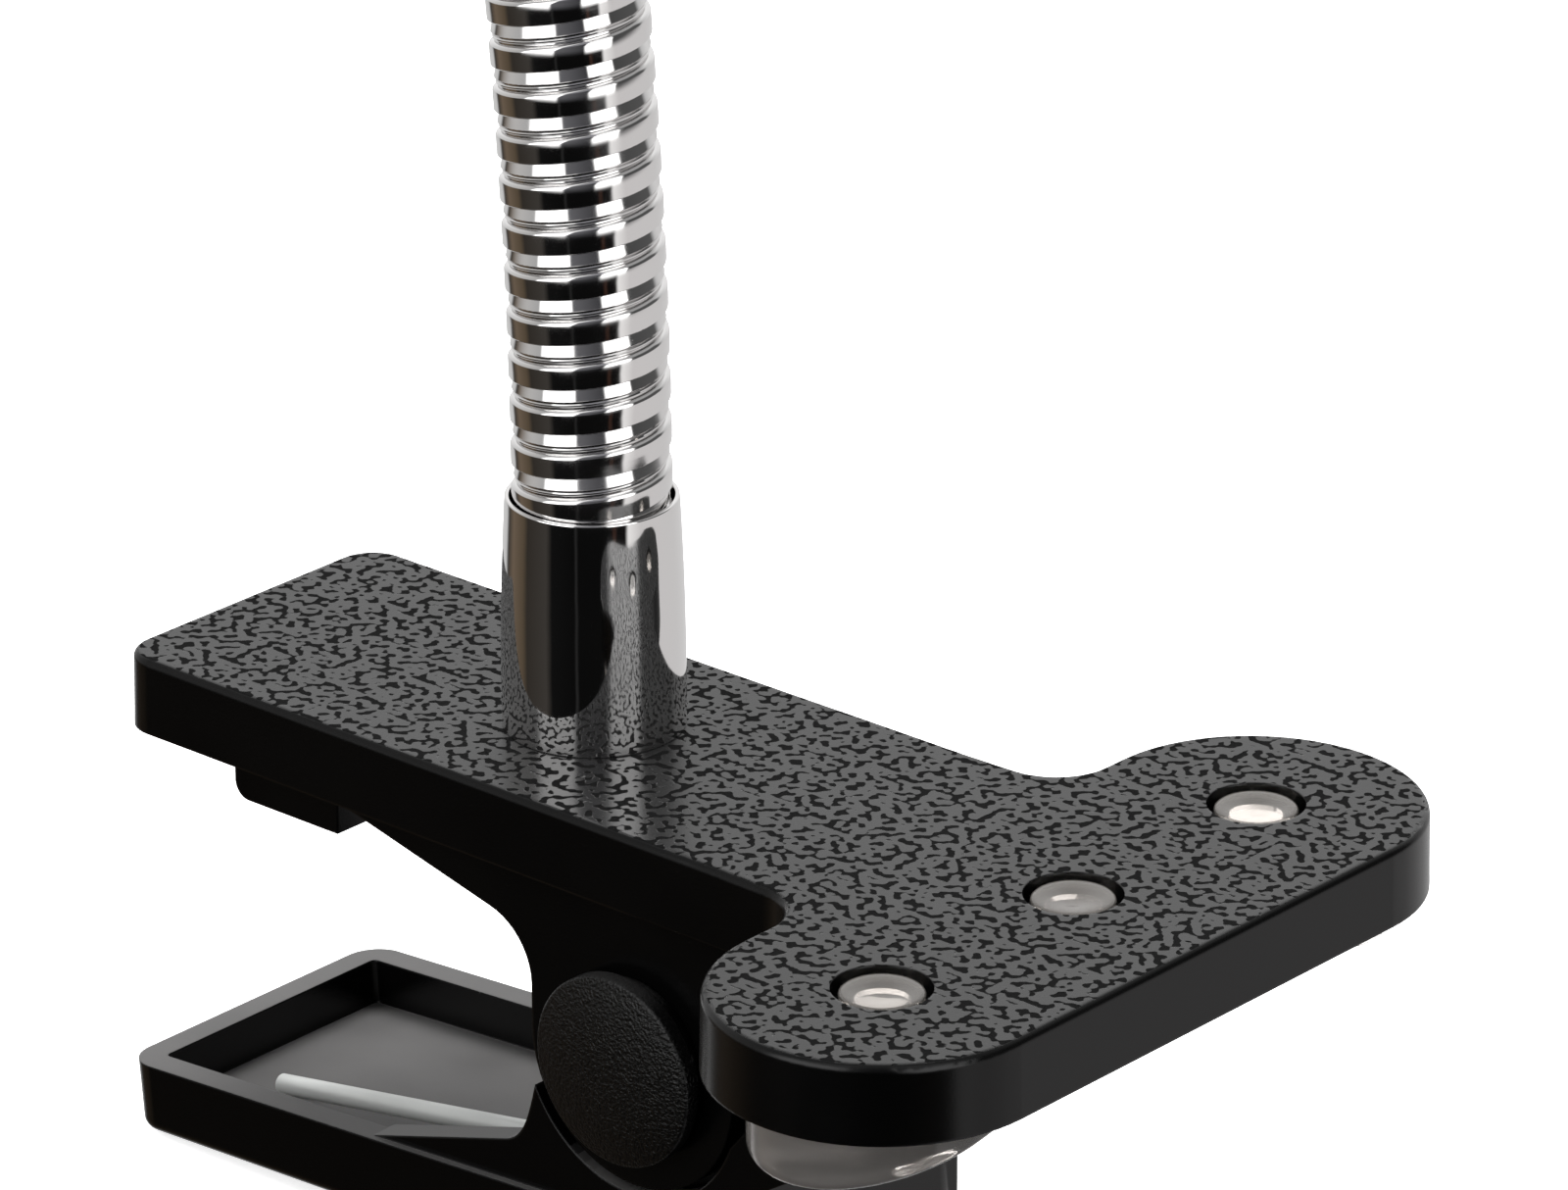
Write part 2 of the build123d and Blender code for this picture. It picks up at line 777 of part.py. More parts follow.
def make_cup_rim(tilt):
    """Clear ring on the mouth of the cup, open over the slot."""
    with BuildPart() as rim:
        with Locations((tilt[0] + cup_reach, 0, tilt[1] + cup_top)):
            Cylinder(cup_outer, rim_thick, align=on_base)
            Cylinder(rim_bore, rim_thick, align=on_base, mode=Mode.SUBTRACT)
            Box(
                2 * cup_outer,
                cup_slot,
                rim_thick,
                align=(Align.MIN, Align.CENTER, Align.MIN),
                mode=Mode.SUBTRACT,
            )
        fillet(rim.faces().sort_by(Axis.Z)[-1].edges(), rim_round)
    return rim.part


def make_tilt_pin(tilt):
    """Riveted pin of the cup's hinge."""
    with BuildPart() as pin:
        with BuildSketch(Plane.XZ):
            with Locations(tilt):
                Circle(pin_radius)
        extrude(amount=fork_out, both=True)
        with BuildSketch(Plane.XZ.offset(fork_out), Plane.XZ.offset(-fork_out - tilt_head_thick)):
            with Locations(tilt):
                Circle(tilt_head_radius)
        extrude(amount=tilt_head_thick)
        fillet(pin.faces().filter_by(Axis.Y).group_by(Axis.Y)[0].edges(), tilt_head_round)
        fillet(pin.faces().filter_by(Axis.Y).group_by(Axis.Y)[-1].edges(), tilt_head_round)
    return pin.part


# ---------------------------------------------------------------- files
os.makedirs("parts", exist_ok=True)
save(make_upper_jaw(), "upper_jaw")
save(make_lower_jaw(), "lower_jaw")
save(make_upper_pad(), "pad_upper")
save(make_lower_pad(), "pad_lower")
save(make_pivot_pin(), "pivot_pin")
save(make_pivot_caps(), "pivot_caps")
save(make_spring_coil(), "spring_coil")
save(make_spring_leg(), "spring_leg")
save(make_collar(), "collar")
save(make_nipple(), "collar_nipple")
save(make_washer(), "nipple_washer")
save(make_nut(), "nipple_nut")

joints = joint_points()
base_start = collar_floor + 0.1 - (first_joint_z - plate_z - link_length)
base = make_link(base_start, link_length - link_gap, (0, 1, 2), ball=True, socket=False)
save(base.moved(Location((post_x, 0, first_joint_z - link_length))), "hose_base")
for number, (point, angle) in enumerate(zip(joints, lean), start=1):
    last = number == len(lean)
    end = last_link_length if last else link_length - link_gap
    link = make_link(0, end, (0,) if last else (0, 1, 2), ball=not last, socket=True)
    save(link.moved(link_frame(point, angle).location), f"hose_{number:02d}")

head_frame = link_frame(joints[-1], lean[-1])
turn = radians(lean[-1])
tilt = (joints[-1][0] + tilt_distance * sin(turn), joints[-1][1] + tilt_distance * cos(turn))
save(make_ferrule().moved(head_frame.location), "ferrule_top")
save(make_swivel().moved(head_frame.location), "swivel")
save(make_cup(tilt), "cup")
save(make_cup_rim(tilt), "cup_rim")
save(make_tilt_pin(tilt), "tilt_pin")
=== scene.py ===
import json
import math

import bmesh
import bpy
from mathutils import Matrix, Vector


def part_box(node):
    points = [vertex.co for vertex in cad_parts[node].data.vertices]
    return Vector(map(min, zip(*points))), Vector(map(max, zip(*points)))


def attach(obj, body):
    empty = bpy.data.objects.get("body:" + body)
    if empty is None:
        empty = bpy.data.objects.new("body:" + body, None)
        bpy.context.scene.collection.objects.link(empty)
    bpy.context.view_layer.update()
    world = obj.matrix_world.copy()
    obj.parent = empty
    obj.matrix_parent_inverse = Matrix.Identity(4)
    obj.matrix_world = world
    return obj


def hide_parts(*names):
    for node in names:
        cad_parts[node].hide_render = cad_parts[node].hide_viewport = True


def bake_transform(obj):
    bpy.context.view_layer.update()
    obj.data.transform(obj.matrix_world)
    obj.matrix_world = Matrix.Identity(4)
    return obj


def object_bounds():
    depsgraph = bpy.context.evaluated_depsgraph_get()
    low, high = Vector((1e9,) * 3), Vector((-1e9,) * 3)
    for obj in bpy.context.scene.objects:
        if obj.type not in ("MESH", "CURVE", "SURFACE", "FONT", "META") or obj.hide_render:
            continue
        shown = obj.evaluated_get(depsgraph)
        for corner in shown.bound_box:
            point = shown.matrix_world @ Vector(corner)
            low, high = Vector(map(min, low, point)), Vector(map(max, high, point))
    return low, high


# Clip-on gooseneck airbrush holder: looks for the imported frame. Metres, +Z up.

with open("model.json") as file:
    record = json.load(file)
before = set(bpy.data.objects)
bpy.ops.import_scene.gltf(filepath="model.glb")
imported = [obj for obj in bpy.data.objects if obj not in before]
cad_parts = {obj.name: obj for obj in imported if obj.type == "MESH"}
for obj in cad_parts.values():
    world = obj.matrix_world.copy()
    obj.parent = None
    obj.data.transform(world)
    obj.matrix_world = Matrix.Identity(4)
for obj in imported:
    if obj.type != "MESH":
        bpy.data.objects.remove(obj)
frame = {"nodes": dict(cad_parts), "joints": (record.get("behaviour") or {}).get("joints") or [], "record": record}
cad_low, cad_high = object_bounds()

MM = 0.001
JOINTS = {j["name"]: j for j in frame["joints"]}
PIVOT = Vector(JOINTS["jaw_pivot"]["pos_m"])
PLATE_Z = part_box("upper_jaw")[1].z
COLLAR_LOW, COLLAR_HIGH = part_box("collar")
POST = Vector(((COLLAR_LOW.x + COLLAR_HIGH.x) / 2, 0, PLATE_Z))

# ---------------------------------------------------------------- camera
VIEW_AZIMUTH = math.radians(41.51)
VIEW_ELEVATION = math.radians(22.84)
VIEW_ROLL = -0.002
VIEW_DISTANCE = 0.7204
VIEW_TARGET = Vector((-0.0333, 0.0100, 0.0209))
LENS = 205.2
SENSOR = 36.0


def make_camera():
    """Long lens, looking down the handle from the front right of the clamp."""
    back = Vector(
        (
            math.sin(VIEW_AZIMUTH) * math.cos(VIEW_ELEVATION),
            -math.cos(VIEW_AZIMUTH) * math.cos(VIEW_ELEVATION),
            math.sin(VIEW_ELEVATION),
        )
    )
    data = bpy.data.cameras.new("camera")
    data.lens = LENS
    data.sensor_width = SENSOR
    data.clip_start = 0.01
    data.clip_end = 20
    camera = bpy.data.objects.new("camera", data)
    bpy.context.scene.collection.objects.link(camera)
    camera.location = VIEW_TARGET + back * VIEW_DISTANCE
    turn = (-back).to_track_quat("-Z", "Y").to_matrix() @ Matrix.Rotation(VIEW_ROLL, 3, "Z")
    camera.rotation_euler = turn.to_euler()
    bpy.context.scene.camera = camera


# ---------------------------------------------------------------- shader helpers
class Graph:
    """Short names for adding and joining shader nodes."""

    def __init__(self, tree):
        self.tree = tree
        tree.nodes.clear()

    def add(self, kind, inputs=None, **settings):
        node = self.tree.nodes.new("ShaderNode" + kind)
        for key, value in settings.items():
            setattr(node, key, value)
        for key, value in (inputs or {}).items():
            self.put(node.inputs[key], value)
        return node

    def put(self, socket, value):
        if isinstance(value, bpy.types.NodeSocket):
            self.tree.links.new(value, socket)
        elif isinstance(value, bpy.types.Node):
            self.tree.links.new(value.outputs[0], socket)
        else:
            socket.default_value = value

    def math(self, operation, a, b=0.0):
        return self.add("Math", {0: a, 1: b}, operation=operation).outputs[0]

    def step(self, value, low, high, start=0.0, end=1.0):
        """Smooth step of a value from start at low to end at high."""
        node = self.add(
            "MapRange",
            {"Value": value, "From Min": low, "From Max": high, "To Min": start, "To Max": end},
            interpolation_type="SMOOTHSTEP",
        )
        return node.outputs["Result"]

    def mix(self, factor, a, b):
        """Colour mix."""
        node = self.add("Mix", data_type="RGBA")
        self.put(node.inputs["Factor"], factor)
        self.put(node.inputs["A"], a)
        self.put(node.inputs["B"], b)
        return node.outputs["Result"]

    def ramp(self, factor, stops):
        """Colour that runs through (position, colour) stops."""
        node = self.add("ValToRGB", {"Fac": factor})
        elements = node.color_ramp.elements
        while len(elements) < len(stops):
            elements.new(0.5)
        for element, (position, colour) in zip(elements, stops):
            element.position = position
            element.color = (*colour, 1.0)
        return node.outputs["Color"]

    def bump(self, height, distance, strength=1.0, normal=None):
        node = self.add("Bump", {"Height": height, "Distance": distance, "Strength": strength})
        if normal is not None:
            self.put(node.inputs["Normal"], normal)
        return node.outputs["Normal"]


def grey(value):
    return (value, value, value, 1.0)


def new_material(name):
    material = bpy.data.materials.new(name)
    material.use_nodes = True
    return material, Graph(material.node_tree)


def finish_shader(graph, inputs):
    shader = graph.add("BsdfPrincipled", inputs)
    graph.add("OutputMaterial", {"Surface": shader})


def object_point(graph):
    return graph.add("TexCoord").outputs["Object"]


# ---------------------------------------------------------------- materials
GRAIN_CELL = 0.84 * MM
GRAIN_DEPTH = 0.34 * MM
GRAIN_EDGE = (0.40, 0.47)
FINE_GRAIN = 0.16 * MM
EDGE_ROUND = 0.3 * MM
WIRE_EDGE_ROUND = 0.2 * MM
DUST_GREY = 0.35


def dust(graph, point, size, amount):
    """Mask of small scattered specks."""
    cells = graph.add("TexVoronoi", {"Vector": point, "Scale": 1 / size, "Randomness": 1.0})
    near = graph.step(cells.outputs["Distance"], 0.10, 0.04)
    chosen = graph.step(cells.outputs["Color"], 1 - amount, 1 - amount * 0.9)
    return graph.math("MULTIPLY", near, chosen)


def facing_up(graph, low=0.80, high=0.97):
    """Mask of the faces that look up."""
    geometry = graph.add("NewGeometry")
    normal = graph.add("SeparateXYZ", {0: geometry.outputs["True Normal"]})
    return graph.step(normal.outputs["Z"], low, high)


def satin_plastic(name, base, rough, top_light_grey, texture=0.30, size=FINE_GRAIN):
    """Moulded black plastic: fine spark-eroded skin, a painted lighter grey on what looks up (painted top light,
    in broad patches and rougher), dust specks.
    """
    material, graph = new_material(name)
    point = object_point(graph)
    fine = graph.add("TexNoise", {"Vector": point, "Scale": 1 / size, "Detail": 2.0})
    broad = graph.add("TexNoise", {"Vector": point, "Scale": 110.0, "Detail": 4.0})
    edges = graph.add("Bevel", {"Radius": EDGE_ROUND}, samples=6)
    normal = graph.bump(fine.outputs[0], 0.03 * MM, texture, edges.outputs[0])
    # painted top light: faces that look up are painted a lighter grey, in broad patches, and made rougher
    painted_top_light = graph.math("MULTIPLY", facing_up(graph), graph.step(broad.outputs[0], 0.1, 0.8, 0.75, 1.0))
    roughness = graph.step(painted_top_light, 0.0, 1.0, rough, rough + 0.32)
    colour = graph.mix(broad.outputs[0], grey(base * 0.6), grey(base * 1.4))
    # painted top light: the lighter grey laid on the faces that look up
    colour = graph.mix(painted_top_light, colour, (top_light_grey, top_light_grey * 0.98, top_light_grey * 0.97, 1.0))
    colour = graph.mix(dust(graph, point, 0.55 * MM, 0.03), colour, grey(DUST_GREY))
    finish_shader(
        graph,
        {"Base Color": colour, "Roughness": roughness, "Specular IOR Level": 0.30, "Normal": normal},
    )
    return material


def grained_plastic():
    """Black plastic whose top face is a level skin pitted all over with small irregular dents."""
    material, graph = new_material("grained_plastic")
    point = object_point(graph)
    flat = graph.add("VectorMath", {0: point, 1: (1.0, 1.0, 0.0)}, operation="MULTIPLY").outputs[0]
    waves = graph.add(
        "TexNoise", {"Vector": flat, "Scale": 1 / GRAIN_CELL, "Detail": 0.4, "Roughness": 0.5}
    )
    skin = graph.step(waves.outputs[0], *GRAIN_EDGE)
    dent = graph.math("SUBTRACT", 1.0, skin)
    fine = graph.add("TexNoise", {"Vector": point, "Scale": 1 / FINE_GRAIN, "Detail": 2.0})
    broad = graph.add("TexNoise", {"Vector": point, "Scale": 70.0, "Detail": 3.0})
    place_z = graph.add("SeparateXYZ", {0: point}).outputs["Z"]
    level = graph.step(place_z, PLATE_Z - 0.3 * MM, PLATE_Z - 0.1 * MM)
    top = graph.math("MULTIPLY", facing_up(graph, 0.90, 0.99), level)
    edges = graph.add("Bevel", {"Radius": EDGE_ROUND}, samples=6)
    smooth = graph.bump(fine.outputs[0], 0.02 * MM, 0.25, edges.outputs[0])
    normal = graph.bump(graph.math("MULTIPLY", skin, top), GRAIN_DEPTH, 1.0, smooth)
    roughness = graph.step(graph.math("MULTIPLY", dent, top), 0.0, 1.0, 0.19, 0.92)
    roughness = graph.math("ADD", roughness, graph.step(broad.outputs[0], 0.3, 0.7, 0.0, 0.05))
    # painted light and shade: only the level skin of the top face is grey, as painted top light; the dents and all
    # other faces are near black, as painted shade
    colour = graph.mix(graph.math("MULTIPLY", skin, top), grey(0.0012), grey(0.024))
    colour = graph.mix(dust(graph, point, 0.6 * MM, 0.03), colour, grey(DUST_GREY))
    finish_shader(
        graph,
        {"Base Color": colour, "Roughness": roughness, "Specular IOR Level": 0.28, "Normal": normal},
    )
    return material


def chrome(name, rough=0.04, wear=0.5, streak=(1.0, 1.0, 1.0)):
    """Bright chrome plate with hazy patches, fine polishing lines and pits."""
    material, graph = new_material(name)
    point = object_point(graph)
    drawn = graph.add("VectorMath", {0: point, 1: streak}, operation="MULTIPLY").outputs[0]
    haze = graph.add("TexNoise", {"Vector": point, "Scale": 160.0, "Detail": 5.0})
    lines = graph.add("TexNoise", {"Vector": drawn, "Scale": 2600.0, "Detail": 2.0})
    wobble = graph.add("TexNoise", {"Vector": point, "Scale": 420.0, "Detail": 1.0})
    pits = dust(graph, point, 0.45 * MM, 0.10 * wear)
    roughness = graph.step(haze.outputs[0], 0.35, 0.75, rough, rough + 0.09 * wear)
    roughness = graph.math("ADD", roughness, graph.math("MULTIPLY", pits, 0.45))
    height = graph.math("ADD", graph.math("MULTIPLY", lines.outputs[0], 0.10), wobble.outputs[0])
    normal = graph.bump(height, 0.012 * MM, 0.7)
    colour = graph.mix(pits, (0.80, 0.79, 0.785, 1), (0.90, 0.90, 0.91, 1))
    finish_shader(
        graph, {"Base Color": colour, "Metallic": 1.0, "Roughness": roughness, "Normal": normal}
    )
    return material


def steel(name, base, rough, metallic=1.0, streak=(1.0, 1.0, 1.0)):
    """Plain or plated steel with drawing lines along one direction."""
    material, graph = new_material(name)
    point = object_point(graph)
    drawn = graph.add("VectorMath", {0: point, 1: streak}, operation="MULTIPLY").outputs[0]
    lines = graph.add("TexNoise", {"Vector": drawn, "Scale": 2200.0, "Detail": 3.0})
    broad = graph.add("TexNoise", {"Vector": point, "Scale": 200.0, "Detail": 4.0})
    edges = graph.add("Bevel", {"Radius": WIRE_EDGE_ROUND}, samples=4)
    normal = graph.bump(lines.outputs[0], 0.012 * MM, 0.5, edges.outputs[0])
    roughness = graph.step(broad.outputs[0], 0.3, 0.7, rough - 0.05, rough + 0.08)
    colour = graph.mix(broad.outputs[0], base, tuple(0.8 * c for c in base[:3]) + (1.0,))
    finish_shader(
        graph, {"Base Color": colour, "Metallic": metallic, "Roughness": roughness, "Normal": normal}
    )
    return material


def silicone():
    """Clear soft silicone with a faintly hazy skin, milkier in the heads of the pegs, whose darker grey is painted
    shade that dims them.
    """
    material, graph = new_material("clear_silicone")
    point = object_point(graph)
    broad = graph.add("TexNoise", {"Vector": point, "Scale": 420.0, "Detail": 3.0})
    height = graph.add("SeparateXYZ", {0: point}).outputs["Z"]
    head = graph.step(height, PLATE_Z - 1.6 * MM, PLATE_Z - 1.0 * MM)
    roughness = graph.step(broad.outputs[0], 0.3, 0.75, 0.04, 0.16)
    normal = graph.bump(broad.outputs[0], 0.03 * MM, 0.4)
    clear = graph.step(head, 0.0, 1.0, 0.90, 0.80)
    # painted shade: the heads of the pegs get a darker grey than the pad, to dim the light they catch
    colour = graph.mix(head, (0.98, 0.93, 0.89, 1), (0.46, 0.43, 0.40, 1))
    finish_shader(
        graph,
        {
            "Base Color": colour,
            "Roughness": roughness,
            "Transmission Weight": clear,
            "IOR": 1.41,
            "Normal": normal,
        },
    )
    return material


MATERIALS = {
    "grained_plastic": grained_plastic(),
    "black_plastic": satin_plastic("black_plastic", 0.0011, 0.19, top_light_grey=0.105),
    "cap_plastic": satin_plastic("cap_plastic", 0.0012, 0.29, top_light_grey=0.02, texture=4.0, size=0.26 * MM),
    "cup_plastic": satin_plastic("cup_plastic", 0.002, 0.20, top_light_grey=0.03),
    "clear_silicone": silicone(),
    "chrome_collar": chrome("chrome_collar", streak=(1.0, 1.0, 0.08)),
    "chrome_hose": chrome("chrome_hose", rough=0.045, wear=1.0, streak=(0.3, 0.3, 1.0)),
    "chrome_head": chrome("chrome_head", rough=0.07),
    "steel": steel("steel", (0.38, 0.375, 0.36, 1), 0.34),
    "spring_steel": steel(
        "spring_steel", (0.86, 0.88, 0.86, 1), 0.42, metallic=0.25, streak=(0.06, 1.0, 1.0)
    ),
}


def dress(thing, slot):
    """Give a piece the material of a slot."""
    thing.data.materials.clear()
    thing.data.materials.append(MATERIALS[slot])


def dress_cad_nodes():
    """Every CAD node takes the material of its slot in the record."""
    for part in frame["record"]["subparts"]:
        dress(frame["nodes"][part["node"]], part["material_slot"])


# ---------------------------------------------------------------- mesh helpers
def mesh_object(name, vertices, faces, slot, smooth_angle=35.0):
    data = bpy.data.meshes.new(name)
    data.from_pydata([tuple(v) for v in vertices], [], faces)
    data.validate()
    data.update()
    data.polygons.foreach_set("use_smooth", [True] * len(data.polygons))
    data.set_sharp_from_angle(angle=math.radians(smooth_angle))
    thing = bpy.data.objects.new(name, data)
    bpy.context.scene.collection.objects.link(thing)
    dress(thing, slot)
    return thing


def lathe(profile, place, sides=96, closed=False):
    """Vertices and faces of a profile of (radius, height) turned about its axis, set at a matrix."""
    vertices = []
    rings = []
    for radius, height in profile:
        if radius < 1e-7:
            rings.append([len(vertices)] * sides)
            vertices.append(place @ Vector((0, 0, height)))
            continue
        rings.append(list(range(len(vertices), len(vertices) + sides)))
        for k in range(sides):
            angle = 2 * math.pi * k / sides
            vertices.append(
                place @ Vector((radius * math.cos(angle), radius * math.sin(angle), height))
            )
    pairs = list(zip(rings, rings[1:]))
    if closed:
        pairs.append((rings[-1], rings[0]))
    faces = []
    for low, high in pairs:
        for k in range(sides):
            n = (k + 1) % sides
            corners = [low[k], low[n], high[n], high[k]]
            face = [c for i, c in enumerate(corners) if c not in corners[:i]]
            if len(face) > 2:
                faces.append(face)
    return vertices, faces


def merge(*shapes):
    """One list of vertices and faces from several."""
    vertices = []
    faces = []
    for more_vertices, more_faces in shapes:
        faces += [[i + len(vertices) for i in face] for face in more_faces]
        vertices += more_vertices
    return vertices, faces


def tube(points, radius, sides=20, end_round=0.0):
    """Round wire along points, closed at both ends."""
    path = [Vector(p) for p in points]
    tangents = []
    for i in range(len(path)):
        ahead = path[min(i + 1, len(path) - 1)]
        behind = path[max(i - 1, 0)]
        tangents.append((ahead - behind).normalized())
    side = tangents[0].orthogonal().normalized()
    sections = []
    for i, (point, tangent) in enumerate(zip(path, tangents)):
        if i:
            side = tangents[i - 1].rotation_difference(tangent) @ side
        sections.append((point, side.copy(), tangent.cross(side), radius))
    if end_round:
        first, last = sections[0], sections[-1]
        sections.insert(0, (first[0] - tangents[0] * end_round, first[1], first[2], radius - end_round))
        sections.append((last[0] + tangents[-1] * end_round, last[1], last[2], radius - end_round))
    vertices = []
    for point, first, second, size in sections:
        for k in range(sides):
            angle = 2 * math.pi * k / sides
            vertices.append(point + size * (math.cos(angle) * first + math.sin(angle) * second))
    faces = []
    for i in range(len(sections) - 1):
        for k in range(sides):
            n = (k + 1) % sides
            a = i * sides
            faces.append([a + k, a + n, a + sides + n, a + sides + k])
    faces.append(list(range(sides - 1, -1, -1)))
    faces.append([(len(sections) - 1) * sides + k for k in range(sides)])
    return vertices, faces


def round_corner(corner, start, end, steps=5):
    """Points of a quarter bend from start to end, towards the corner."""
    points = []
    for k in range(steps + 1):
        t = k / steps
        points.append(
            tuple(
                (1 - t) ** 2 * s + 2 * t * (1 - t) * c + t**2 * e
                for s, c, e in zip(start, corner, end)
            )
        )
    return points


# ---------------------------------------------------------------- collar and ferrule
def bellied(low_radius, waist_radius, waist_height, top_radius, top_height, steps=24):
    """Outline through three points of a gently bellied sleeve, from its foot to its top."""
    outline = []
    for k in range(steps + 1):
        z = top_height * k / steps
        a = (z - waist_height) * (z - top_height) / (waist_height * top_height)
        b = z * (z - top_height) / (waist_height * (waist_height - top_height))
        c = z * (z - waist_height) / (top_height * (top_height - waist_height))
        outline.append((low_radius * a + waist_radius * b + top_radius * c, z))
    return outline


SLEEVE_WIDE = 7.5 * MM
SLEEVE_TOP = 7.07 * MM
SLEEVE_BORE = 6.68 * MM
LIP_INNER = 6.80 * MM
LIP_ROUND = 0.12 * MM
COLLAR_WAIST = 7.38 * MM
COLLAR_WAIST_SHARE = 0.64
COLLAR_FOOT_ROUND = 0.15 * MM
COLLAR_HOLE = 5.1 * MM
COLLAR_FLOOR = 4.0 * MM


def make_collar():
    """Chromed collar with a thin rolled lip round the hose."""
    height = COLLAR_HIGH.z - PLATE_Z
    outline = bellied(SLEEVE_WIDE, COLLAR_WAIST, COLLAR_WAIST_SHARE * height, SLEEVE_TOP, height)
    foot = round_corner(
        (SLEEVE_WIDE, 0), (SLEEVE_WIDE - COLLAR_FOOT_ROUND, 0), (SLEEVE_WIDE, COLLAR_FOOT_ROUND)
    )
    lip = round_corner(
        (SLEEVE_TOP, height), (SLEEVE_TOP, height - 0.14 * MM), (LIP_INNER + 0.10 * MM, height)
    )
    inner = round_corner(
        (SLEEVE_BORE, height), (LIP_INNER, height), (SLEEVE_BORE, height - LIP_ROUND)
    )
    profile = [(COLLAR_HOLE, 0.0)] + foot + outline[1:-1] + lip + inner
    profile += [(SLEEVE_BORE, COLLAR_FLOOR), (COLLAR_HOLE, COLLAR_FLOOR)]
    vertices, faces = lathe(profile, Matrix.Translation(POST), sides=160, closed=True)
    collar = mesh_object("collar_shell", vertices, faces, "chrome_collar")
    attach(collar, "jaw_upper")
    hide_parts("collar")


def axis_matrix(origin, direction, across=Vector((0, 1, 0))):
    """Frame with Z along a direction and Y across."""
    z = Vector(direction).normalized()
    y = (across - across.dot(z) * z).normalized()
    x = y.cross(z)
    turn = Matrix((x, y, z)).transposed().to_4x4()
    return Matrix.Translation(origin) @ turn


# ---------------------------------------------------------------- gooseneck
BENDS = [JOINTS[name] for name in sorted(JOINTS) if name.startswith("bend_")]
LAST_DIRECTION = Vector(JOINTS["head_swivel"]["axis"]).normalized()
HOSE_PITCH = 3.75 * MM
HOSE_LINK = 4 * HOSE_PITCH
TURN_SIDES = 60
HOSE_FOOT = 4.3 * MM
HOSE_TAIL = 0.30
# one pitch of the wound strip, from the foot of its flat band up: height, radius in mm
STRIP = [
    (0.00, 6.38),
    (0.04, 6.45),
    (0.10, 6.49),
    (0.90, 6.50),
    (1.68, 6.50),
    (1.79, 6.48),
    (1.89, 6.43),
    (1.97, 6.35),
    (2.03, 6.25),
    (2.07, 6.13),
    (2.10, 6.02),
    (2.21, 6.01),
    (2.25, 6.11),
    (2.33, 6.17),
    (2.44, 6.18),
    (2.53, 6.12),
    (2.57, 6.01),
    (2.68, 6.01),
    (2.72, 6.22),
    (2.80, 6.29),
    (3.70, 6.08),
    (3.75, 5.98),
]


def hose_controls():
    """Joint centres, with one more point a link below the first and above the last."""
    centres = [Vector(j["pos_m"]) for j in BENDS]
    first = centres[0] - Vector((0, 0, HOSE_LINK))
    last = centres[-1] + LAST_DIRECTION * HOSE_LINK
    return [first] + centres + [last]


CONTROLS = hose_controls()


def hose_frame(distance):
    """Point, tangent and the two sides of the hose's centre line, in link lengths from link 0's middle.

    The line runs straight through the middle of each link and bends smoothly across each joint.
    """
    count = len(BENDS)
    k = min(max(int(math.floor(distance)), 0), count - 1)
    t = distance - k
    a = (CONTROLS[k] + CONTROLS[k + 1]) / 2
    b = CONTROLS[k + 1]
    c = (CONTROLS[k + 1] + CONTROLS[k + 2]) / 2
    if t < 0:
        point = a + (b - a) * 2 * t
        tangent = (b - a).normalized()
    elif t > 1:
        point = c + (c - b) * 2 * (t - 1)
        tangent = (c - b).normalized()
    else:
        point = (1 - t) ** 2 * a + 2 * t * (1 - t) * b + t * t * c
        tangent = ((1 - t) * (b - a) + t * (c - b)).normalized()
    across = Vector((0, 1, 0))
    return point, tangent, across.cross(tangent), across


def hose_stretch(start, end):
    """The wound strip between two distances, cut square across the hose at both."""
    pitch = HOSE_PITCH / HOSE_LINK
    first = math.floor((start / pitch - 1.2) * TURN_SIDES)
    last = math.ceil((end / pitch + 0.2) * TURN_SIDES)
    mesh = bmesh.new()
    rows = []
    for j in range(first, last + 1):
        turns = j / TURN_SIDES
        angle = 2 * math.pi * (j % TURN_SIDES) / TURN_SIDES
        row = []
        for height, radius in STRIP:
            point, _, side, across = hose_frame(turns * pitch + height * MM / HOSE_LINK)
            spoke = math.cos(angle) * side + math.sin(angle) * across
            row.append(mesh.verts.new(point + radius * MM * spoke))
        rows.append(row)
    for j, row in enumerate(rows[:-1]):
        following = rows[j + 1]
        for k in range(len(STRIP) - 1):
            mesh.faces.new((row[k], following[k], following[k + 1], row[k + 1]))
        if j + 1 + TURN_SIDES < len(rows):
            above = rows[j + TURN_SIDES]
            above_next = rows[j + 1 + TURN_SIDES]
            mesh.faces.new((row[-1], following[-1], above_next[0], above[0]))
    for distance, sign in ((start, 1), (end, -1)):
        point, tangent, _, _ = hose_frame(distance)
        bmesh.ops.bisect_plane(
            mesh,
            geom=mesh.verts[:] + mesh.edges[:] + mesh.faces[:],
            dist=1e-8,
            plane_co=point,
            plane_no=-sign * tangent,
            clear_outer=True,
        )
    mesh.verts.index_update()
    vertices = [v.co.copy() for v in mesh.verts]
    faces = [[v.index for v in f.verts] for f in mesh.faces]
    mesh.free()
    return vertices, faces


def make_gooseneck():
    """One stretch of hose over every joint, from the collar up to the ferrule."""
    count = len(BENDS)
    foot = (PLATE_Z + HOSE_FOOT - hose_frame(0)[0].z) / HOSE_LINK
    stretches = [("hose_foot", foot, 0.0)]
    stretches += [(f"hose_bend_{k + 1:02d}", float(k), k + 1.0) for k in range(count)]
    stretches += [("hose_end", float(count), count + HOSE_TAIL)]
    for name, start, end in stretches:
        vertices, faces = hose_stretch(start, end)
        piece = mesh_object(name, vertices, faces, "chrome_hose", smooth_angle=28.0)
        if name == "hose_foot":
            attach(piece, "jaw_upper")
            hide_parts("hose_base")
        elif name == "hose_end":
            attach(piece, f"link_{count:02d}")
        else:
            number = round(end)
            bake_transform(piece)
            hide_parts(f"hose_{number:02d}")


